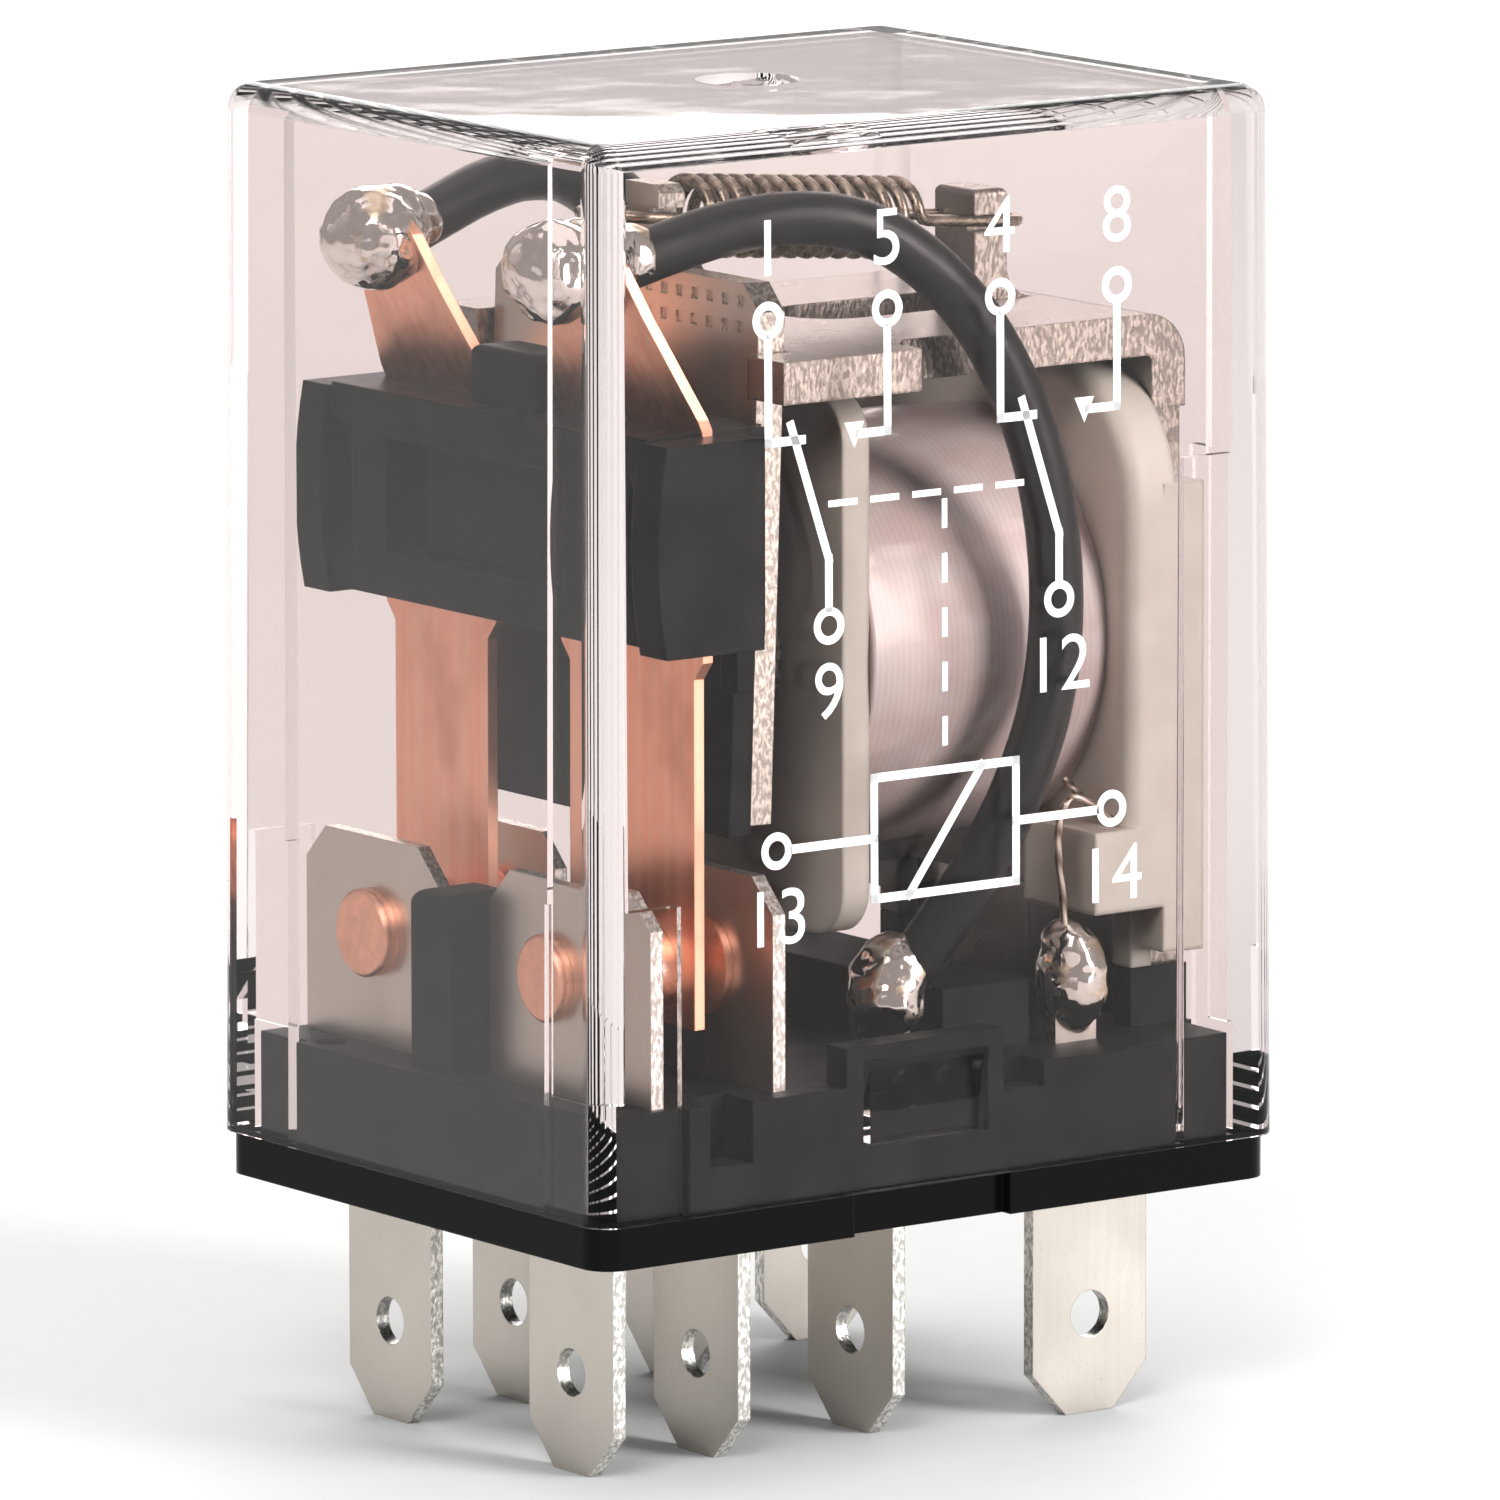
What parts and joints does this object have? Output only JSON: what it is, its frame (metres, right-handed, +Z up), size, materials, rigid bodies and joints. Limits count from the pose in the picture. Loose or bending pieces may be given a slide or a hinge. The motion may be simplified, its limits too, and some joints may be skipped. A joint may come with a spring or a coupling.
{
  "type": "plug-in control relay",
  "caption": "Miniature plug-in relay: clear dust cover over a hinged-armature electromagnet that switches two changeover contacts, with flat plug-in blades below a black base.",
  "frame": {"origin": "centre of the underside of the base flange, the face that seats on the socket", "axes": "+Z up out of the socket, +X from the contacts towards the coil, Y across the two poles"},
  "size_m": [0.028, 0.022, 0.0447],
  "materials": {
    "clear_cover": "clear polycarbonate, glossy, faint warm tint",
    "black_base": "black phenolic moulding, glossy flange, satin block",
    "black_carrier": "black moulding, satin",
    "tinned_brass": "tin-plated brass strip, satin with fine rolling marks",
    "plated_steel": "nickel-plated steel, satin faces, bright sheared edges",
    "soft_iron": "soft iron, bright",
    "copper": "bare copper alloy strip, satin",
    "contact_metal": "copper rivet with silver alloy face",
    "solder": "bright solder",
    "spring_steel": "plated music wire",
    "bobbin_plastic": "cream nylon",
    "magnet_wire": "enamelled copper wire",
    "clear_tape": "clear polyester tape",
    "lead_insulation": "black PVC insulation, satin"
  },
  "bodies": {
    "frame": {"base": "black_base", "bobbin": "bobbin_plastic", "coil_lead_1": "magnet_wire", "coil_lead_2": "magnet_wire", "coil_solder_1": "solder", "coil_solder_2": "solder", "coil_terminal_1": "tinned_brass", "coil_terminal_2": "tinned_brass", "com_solder_1": "solder", "com_solder_2": "solder", "com_terminal_1": "tinned_brass", "com_terminal_2": "tinned_brass", "core": "soft_iron", "dust_cover": "clear_cover", "nc_contact_1": "contact_metal", "nc_contact_2": "contact_metal", "nc_terminal_1": "tinned_brass", "nc_terminal_2": "tinned_brass", "no_contact_1": "contact_metal", "no_contact_2": "contact_metal", "no_terminal_1": "tinned_brass", "no_terminal_2": "tinned_brass", "pigtail_1": "lead_insulation", "pigtail_2": "lead_insulation", "return_spring": "spring_steel", "shading_ring": "copper", "winding": "magnet_wire", "winding_tape": "clear_tape", "yoke": "plated_steel"},
    "armature_group": {"armature": "plated_steel", "contact_carrier": "black_carrier", "moving_blade_1": "copper", "moving_blade_2": "copper", "moving_contact_1": "contact_metal", "moving_contact_2": "contact_metal", "blade_solder_1": "solder", "blade_solder_2": "solder"}
  },
  "joints": [
    {"name": "armature_pivot", "type": "hinge", "parent": "frame", "child": "armature_group", "pos_m": [-0.00379, 0, 0.0289], "axis": [0, -1, 0], "range_deg": [0, 2], "stiffness_Nm_per_rad": 0.004, "springref_deg": -51.57, "deforming": ["return_spring", "pigtail_1", "pigtail_2"]}
  ]
}
